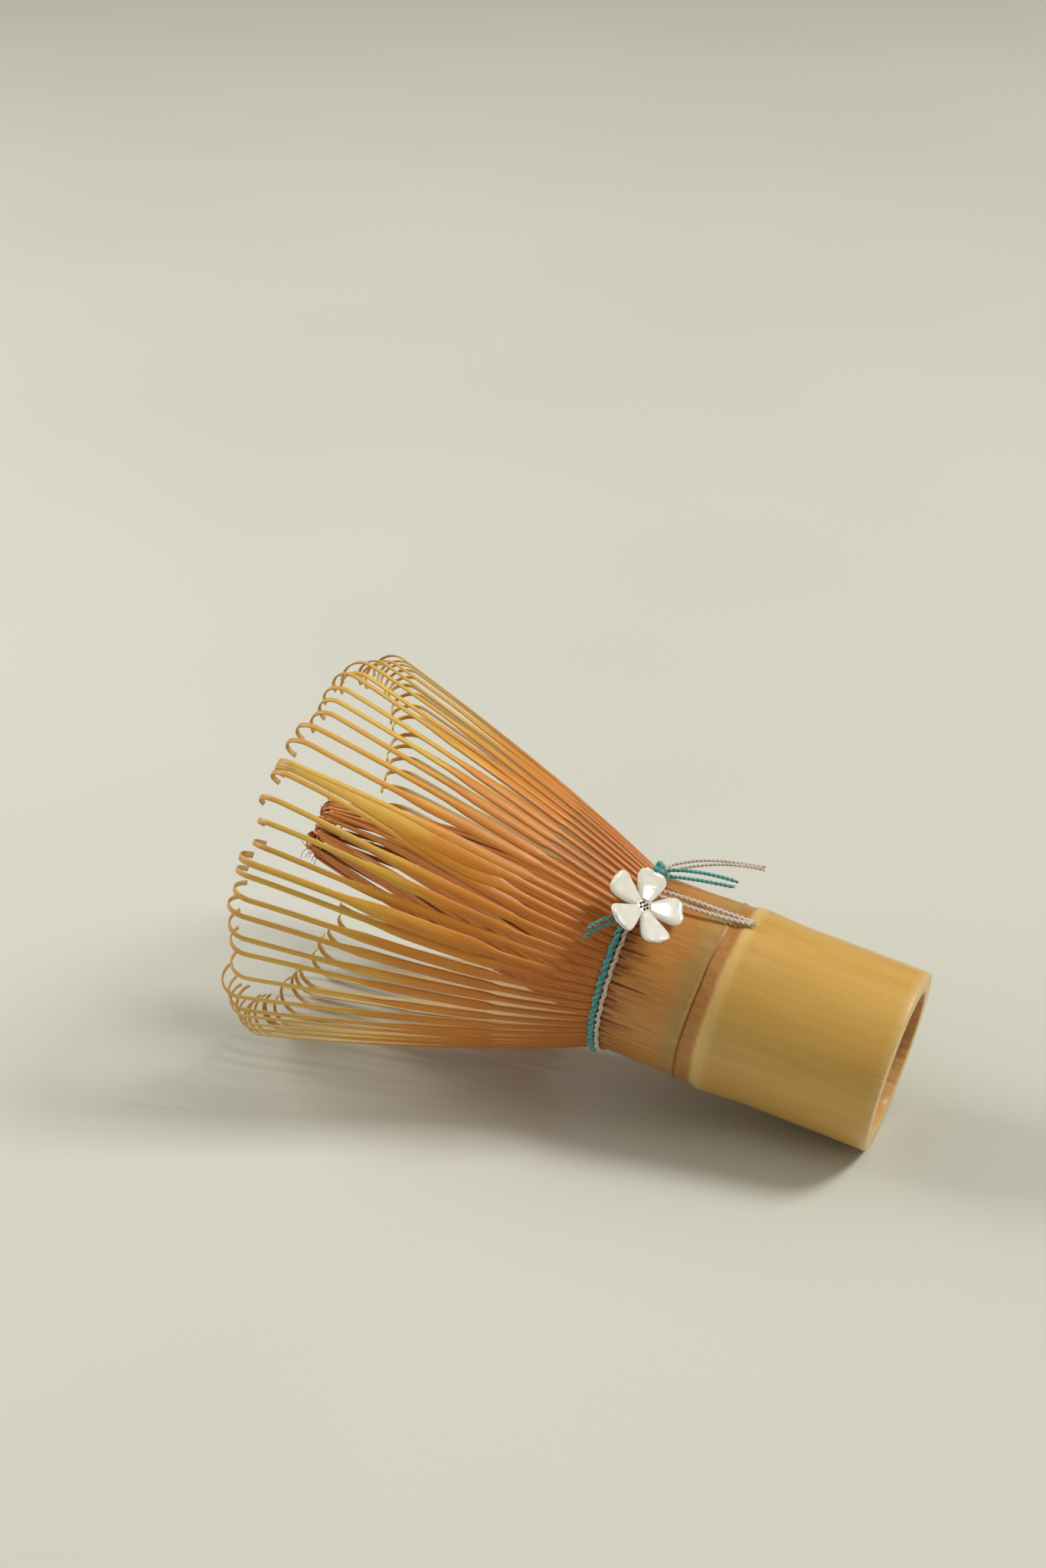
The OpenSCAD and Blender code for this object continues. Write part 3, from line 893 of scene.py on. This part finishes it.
def outer_tines(k, material):
    """The six tines of group k, bent smoothly from the neck to their own body."""
    draw = random.Random(100 + k)
    surface = Surface()
    for j in range(TINES_PER_GROUP):
        a = (k - 1) * GROUP_STEP + (j - (TINES_PER_GROUP - 1) / 2) * TINE_STEP
        a = a - 360 if a > 180 else a
        path = tine_path(a, draw)
        tone = draw.random()
        narrow_z = draw.uniform(64, 75)
        tip = path[-1][0]
        gain = blade_gain(math.degrees(math.atan2(tip.y, tip.x)))
        strip(surface, path, lambda z: tine_width(z, narrow_z, gain), tine_thickness,
              k * 31.0 + j * 5.0, [(bend, tone) for _, bend in path], draw.uniform(-0.1, 0.1))
    label = f"{k:02d}"
    made = surface.piece("outer_tine_splits_" + label, material, None,
                         ["outer_tines_" + label])
    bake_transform(made)


# ---------------------------------------------------------------- inner tines

def bundle_point(a, t, swell=0.0):
    """A point of the gathered bundle at angle a, a part t of the way from root to tip."""
    w = mix(INNER_ROOT_R, BUNDLE_HALF_W, t) + BUNDLE_BULGE_W * t * (1 - t) + swell
    d = mix(INNER_ROOT_R, BUNDLE_HALF_D, t) - BUNDLE_WAIST_D * t * (1 - t) + swell
    turn = math.radians(a + BUNDLE_TWIST * t - BUNDLE_ANGLE)
    x = w * math.cos(turn) + BUNDLE_LIFT * ease(t)
    y = d * math.sin(turn)
    out = math.radians(BUNDLE_ANGLE)
    return Vector((x * math.cos(out) - y * math.sin(out), x * math.sin(out) + y * math.cos(out),
                   mix(INNER_ROOT_Z, INNER_TIP_Z, t)))


def inner_path(a, draw):
    """Points of one inner tine, drawn in to the bundle and curled over at the tip."""
    drift = draw.gauss(0, 7)
    swell = draw.uniform(-0.35, 0.25)
    curl_r = draw.uniform(0.7, 2.1)
    turn = math.radians(draw.uniform(90, 250))
    top = 1 - (curl_r + draw.uniform(0, 2.2)) / (INNER_TIP_Z - INNER_ROOT_Z)
    points = [bundle_point(a + drift * t * t, t, swell * ease(t * 3)) for t in span(0.0, top, 26)]
    along = (points[-1] - points[-2]).normalized()
    middle = bundle_point(a, top, -BUNDLE_HALF_D * 0.8) * 0.3 + bundle_point(a + 180, top) * 0.7
    inward = middle - points[-1]
    inward = (inward - along * inward.dot(along)).normalized()
    start = points[-1]
    for t in span(0.0, 1.0, 9)[1:]:
        lift = along * math.sin(turn * t) + inward * (1 - math.cos(turn * t))
        points.append(start + lift * curl_r)
    return points


def inner_tines(g, material):
    """The inner tines of group g."""
    draw = random.Random(300 + g)
    surface = Surface()
    count = INNER_GROUPS * INNER_PER_GROUP
    for j in range(INNER_PER_GROUP):
        a = ((g - 1) * INNER_PER_GROUP + j) * 360 / count
        path = inner_path(a, draw)
        tone = draw.random()
        wide = draw.uniform(0.8, 1.12)
        last = len(path) - 1
        rings = []
        for i, (point, along) in enumerate(zip(path, headings(path))):
            t = clamp((point.z - INNER_ROOT_Z) / (INNER_TIP_Z - INNER_ROOT_Z))
            step = bundle_point(a + 2.5, t) - bundle_point(a - 2.5, t)
            across = (step - along * step.dot(along)).normalized()
            outward = across.cross(along)
            w = wide * mix(INNER_ROOT_HALF_W, INNER_TIP_HALF_W, ease((t - 0.15) / 0.7))
            h = mix(INNER_ROOT_HALF_T, INNER_TIP_HALF_T, t)
            curl = ease((i - last + 11) / 10)
            ring = []
            flat = w - INNER_BEVEL
            for u, v in ((-w, 0), (-flat, h), (flat, h), (w, 0), (flat, -h), (-flat, -h)):
                place = point + across * u + outward * v
                ring.append((place, (u + g * 17 + j * 3, v, point.z), (curl, 0, tone)))
            rings.append(ring)
        surface.skin(rings)
        for _ in range(draw.choice((1, 1, 2))):
            fray(surface, path, draw, tone)
    surface.piece(f"inner_tine_splits_{g}", material, "inner_bundle",
                  [f"inner_tines_{g}"])


def fray(surface, path, draw, tone):
    """A fine fibre that has lifted off near the tip of an inner tine."""
    root = path[-10]
    along = (path[-9] - path[-11]).normalized()
    out = Vector((draw.uniform(-1, 1), draw.uniform(-1, 1), draw.uniform(-0.4, 0.3)))
    length = draw.uniform(1.2, 2.4)
    first = len(surface.points)
    tube(surface, bezier((root, root + along * length * 0.5, root + (along + out) * length * 0.6,
                          root + (along * 0.6 + out) * length * 0.8), 8), FIBRE_R, 5)
    for i in range(first, len(surface.points)):
        surface.shade[i] = (0.9, 0, tone)


# ---------------------------------------------------------------- thread

def wrap(name, material, node, ring_r, z, radius, start, waves):
    """A twisted thread drawn tight round the culm, dipping a little into every saw cut."""
    path = []
    for t in span(0.0, 1.0, 1100):
        a = start + 360 * t
        turn = math.radians(a) * waves
        path.append(polar(ring_r + WRAP_DIP * math.cos(turn), a,
                          z + WRAP_WAVER * math.sin(turn * 0.5)))
    surface = Surface()
    twisted(surface, path, radius, PLY_PITCH, seed=waves)
    surface.piece(name, material, "culm", [node])


def wound_knot(surface, centre, size, radius, tilt, seed):
    """An overhand knot pulled tight."""
    path = []
    for t in span(0.0, 0.985, 90):
        s = math.tau * t
        x = math.sin(s) + 2 * math.sin(2 * s)
        y = math.cos(s) - 2 * math.cos(2 * s)
        z = -1.6 * math.sin(3 * s)
        c, d = math.cos(tilt), math.sin(tilt)
        path.append(centre + Vector((x * c - z * d, y, x * d + z * c)) * size / 3)
    twisted(surface, path, radius, radius * 3.4, seed=seed)


def tails(name, material, node, curve, spread, seed, rise=0.0, radius=STRAND_R):
    """A pair of loose thread ends; curve gives radius, angle and height of four control points.

    The two lie apart by the angles in spread, and by rise away from the culm.
    """
    draw = random.Random(seed)
    surface = Surface()
    for side in (-1, 1):
        controls = [polar(r + side * rise * gap, a + side * gap, z)
                    for (r, a, z), gap in zip(curve, spread)]
        path = bezier(controls, 30)
        twisted(surface, path, radius, radius * 5, seed=seed + side)
        end = path[-1]
        along = (path[-1] - path[-4]).normalized()
        for _ in range(6):
            off = Vector([draw.uniform(-1, 1) for _ in range(3)]) * STRAND_FRAY_REACH
            fibre = bezier((end - along * 0.4, end + off * 0.6, end + along * 0.2 + off,
                            end + along * draw.uniform(0.25, 0.5) + off), 6)
            tube(surface, fibre, STRAND_FRAY_R, 5)
    surface.piece(name, material, "culm", [node])


def threads():
    """The two wraps, the hidden spreader pass, both knots and all the loose ends."""
    teal = thread_material("teal_thread", srgb(112, 206, 206), srgb(30, 126, 130))
    white = thread_material("white_thread", srgb(248, 240, 230), srgb(216, 202, 186))
    wrap("teal_wrap_thread", teal, "teal_thread_wrap",
         NECK_R + TEAL_R, TEAL_Z, TEAL_R, TEAL_KNOT_ANGLE, KERFS)
    wrap("white_wrap_thread", white, "white_thread_wrap",
         NECK_R + WHITE_R + 0.05, WHITE_Z, WHITE_R, WHITE_KNOT_ANGLE, KERFS)
    wrap("spreader_pass_thread", teal, "spreader_thread",
         SPREADER_RING_R, NECK_Z + SPREADER_R, SPREADER_R, 0, KERFS)

    knot = Surface()
    spot = polar(TEAL_KNOT_R, TEAL_KNOT_ANGLE, KNOT_Z)
    wound_knot(knot, spot, 0.82, 0.36, 0.4, 1)
    wound_knot(knot, spot + Vector((0, -1.1, -0.4)), 0.62, 0.32, 1.3, 2)
    knot.piece("teal_knot_thread", teal, "culm", ["teal_knot"])
    knot = Surface()
    wound_knot(knot, polar(NECK_R + 1.25, WHITE_KNOT_ANGLE, WHITE_Z - 0.3), 0.72, 0.3, 0.9, 3)
    knot.piece("white_knot_thread", white, "culm", ["white_knot"])

    tails("teal_tail_threads", teal, "teal_tails",
          ((15.0, 8, 40.0), (16.6, 6, 36.5), (17.5, 4, 33.0), (17.9, 4, 29.6)),
          (1.0, 1.5, 1.3, 1.0), 20, 0.34, 0.28)
    tails("white_upper_tail_threads", white, "white_tails_upper",
          ((15.0, 20, 39.8), (17.6, 21, 36.0), (18.8, 22, 32.0), (19.5, 22, 27.4)),
          (1.2, 1.3, 0.2, 0.45), 30, 0.34, 0.24)
    tails("white_neck_tail_threads", white, "white_tails_neck",
          ((14.3, -8, 38.9), (14.5, -8, 35.0), (14.1, -6, 30.0), (14.4, -5, 25.0)),
          (2.4, 3.6, 3.2, 0.9), 40, 0.0, 0.32)
    tails("teal_end_threads", teal, "teal_ends",
          ((15.4, -36, 42.3), (16.2, -40, 43.5), (16.8, -45, 44.6), (17.3, -50, 45.4)),
          (2.2, 2.2, 2.2, 2.2), 50)
    charm_tie(teal)


# ---------------------------------------------------------------- charm

# The ring and the eyelet follow one another from the loop of thread along CHAIN
CHAIN = Vector((-math.sin(math.radians(CHAIN_DROP)), -math.cos(math.radians(CHAIN_DROP)), 0))
UPRIGHT = Vector((0, 0, 1))
TIE_POS = polar(NECK_R + 2 * TEAL_R + TIE_R + TIE_GAP, TIE_ANGLE, TIE_Z)
RING_POS = TIE_POS + CHAIN * RING_R
EYELET_POS = TIE_POS + CHAIN * 2 * RING_R


def loop(centre, u, v, radius, gap=0.0):
    """Points round a circle in the plane of u and v, with a part gap left open."""
    return [centre + (u * math.cos(s) + v * math.sin(s)) * radius
            for s in span(gap * math.pi, (2 - gap) * math.pi, 48)]


def charm_tie(material):
    """The loop of thread through the jump ring, run back to the knot."""
    surface = Surface()
    knot = polar(TEAL_KNOT_R, TEAL_KNOT_ANGLE, KNOT_Z)
    ring = loop(TIE_POS, -CHAIN, UPRIGHT, TIE_R)
    twisted(surface, ring, TIE_WIRE_R, TIE_PITCH, seed=7)
    twisted(surface, [TIE_POS - CHAIN * TIE_R, knot], TIE_WIRE_R, TIE_PITCH, seed=8)
    surface.piece("charm_tie_thread", material, "culm", ["charm_tie"])


def on_charm(p):
    """A point of the flower's own frame, with z out of its face, in the whisk's frame."""
    lean = math.radians(90 + CHARM_LEAN)
    out = p[0] * math.cos(lean) + p[2] * math.sin(lean)
    along = -p[0] * math.sin(lean) + p[2] * math.cos(lean)
    a = math.radians(CHARM_ANGLE + CHARM_SWING)
    offset = Vector((out * math.cos(a) - p[1] * math.sin(a),
                     out * math.sin(a) + p[1] * math.cos(a), along))
    return polar(CHARM_RIDE, CHARM_ANGLE, CHARM_Z) + offset


def petal_half_width(t):
    """Half the width of a petal, a part t of the way out from the middle."""
    return PETAL_HALF_W * t ** 0.72 * (1 - t ** 8) ** 0.5


def petal_cup(t, u):
    """Height of a petal's bed: it rises towards its end and its sides."""
    return PETAL_RISE * t * t + PETAL_CUP * t * u * u


def petal(surface, turn, inset, floor, crown, rim):
    """One petal as a closed shell: a bed with an edge rim, or a domed field of enamel on it."""
    steps, sides = 22, 12
    sunk = floor - PLATE_T if crown else 0
    c, s = math.cos(turn), math.sin(turn)
    top = []
    bottom = []
    for i in range(steps + 1):
        t = mix(0.16, 0.995, i / steps)
        reach = t * (PETAL_LENGTH - inset)
        half = max(0.1, petal_half_width(t) - inset)
        for j in range(sides + 1):
            u = -math.cos(math.pi * j / sides)
            edge = max(abs(u), 1 - min(1.0, (1 - t) * 5)) ** 6
            x, y = reach, u * half
            base = petal_cup(t, u)
            dome = base + floor + crown * (1 - edge) + rim * edge
            for height, side in ((dome, top), (base + sunk, bottom)):
                spot = (x * c - y * s, x * s + y * c, height)
                side.append((on_charm(spot), (x, y + turn * 9, height)))
    first = len(surface.points)
    for place, grain in top + bottom:
        surface.corner(place, grain)
    row = sides + 1
    under = len(top)
    for i in range(steps):
        for j in range(sides):
            a = first + i * row + j
            surface.faces.append((a, a + 1, a + row + 1, a + row))
            b = a + under
            surface.faces.append((b, b + row, b + row + 1, b + 1))
    border = ([(0, j) for j in range(sides)] + [(i, sides) for i in range(steps)]
              + [(steps, j) for j in range(sides, 0, -1)] + [(i, 0) for i in range(steps, 0, -1)])
    walk = [first + i * row + j for i, j in border]
    for a, b in zip(walk, walk[1:] + walk[:1]):
        surface.faces.append((a, b, b + under, a + under))


def disc(surface, outline):
    """A turned shape about the flower's axis; outline gives radius and height."""
    surface.skin([[(on_charm((r * math.cos(s), r * math.sin(s), z)), (r, s, z))
                   for s in span(0, math.tau, 40)[:-1]] for r, z in outline])


def charm():
    """Metal flower with cupped enamel petals, seeds, an eyelet, and the jump ring it hangs on."""
    metal = metal_material()
    turns = [math.radians(90 + PETAL_TURN + (i + 0.5) * 360 / PETALS) for i in range(PETALS)]
    base = Surface()
    for turn in turns:
        petal(base, turn, 0.07, PLATE_T, 0.0, 0.1)
    disc(base, ((0.9, 0.0), (1.25, 0.05), (1.3, 0.3), (1.0, 0.45), (0.3, 0.5)))
    tube(base, loop(EYELET_POS, CHAIN, UPRIGHT, EYELET_R), EYELET_WIRE_R, 12)
    stem = bezier((EYELET_POS + CHAIN * EYELET_R, EYELET_POS + CHAIN * (EYELET_R + 0.8),
                   on_charm((0, 2.4, -0.25)), on_charm((0, 1.1, 0.15))), 12)
    tube(base, stem, EYELET_STEM_R, 12)
    base.piece("charm_metal", metal, "charm", ["charm_base"])

    fields = Surface()
    for turn in turns:
        petal(fields, turn, 0.0, PLATE_T + ENAMEL_FLOOR, ENAMEL_DOME, -0.12)
    disc(fields, ((0.8, 0.3), (1.5, 0.4), (1.66, 0.62), (1.45, 0.84), (0.8, 0.92), (0.2, 0.93)))
    fields.piece("charm_petal_enamel", enamel_material(), "charm", ["charm_enamel"])

    seeds = Surface()
    spots = [(0.05, 0.03)] + [(SEED_RING_R * math.cos(s), SEED_RING_R * math.sin(s))
                              for s in span(0, math.tau, 6)[:-1]]
    for x, y in spots:
        rings = []
        for z in span(-0.8, 0.98, 8):
            r = SEED_R * math.sqrt(1 - z * z)
            level = SEED_Z + SEED_R * z
            rings.append([(on_charm((x + r * math.cos(s), y + r * math.sin(s), level)),
                           (x * 3 + r, y * 3, z)) for s in span(0, math.tau, 16)[:-1]])
        seeds.skin(rings)
    seeds.piece("charm_seed_dots", seed_material(), "charm", ["charm_seeds"])

    ring = Surface()
    tube(ring, loop(RING_POS, CHAIN, UPRIGHT.cross(CHAIN), RING_R, 0.03), RING_WIRE_R, 14)
    ring.piece("jump_ring_wire", metal, "jump_ring", ["jump_ring"])


# ---------------------------------------------------------------- the whole

make_camera()
make_studio()
culm()
tine_look = tine_material()
for k in range(1, GROUPS + 1):
    outer_tines(k, tine_look)
inner_look = inner_material()
for g in range(1, INNER_GROUPS + 1):
    inner_tines(g, inner_look)
threads()
charm()
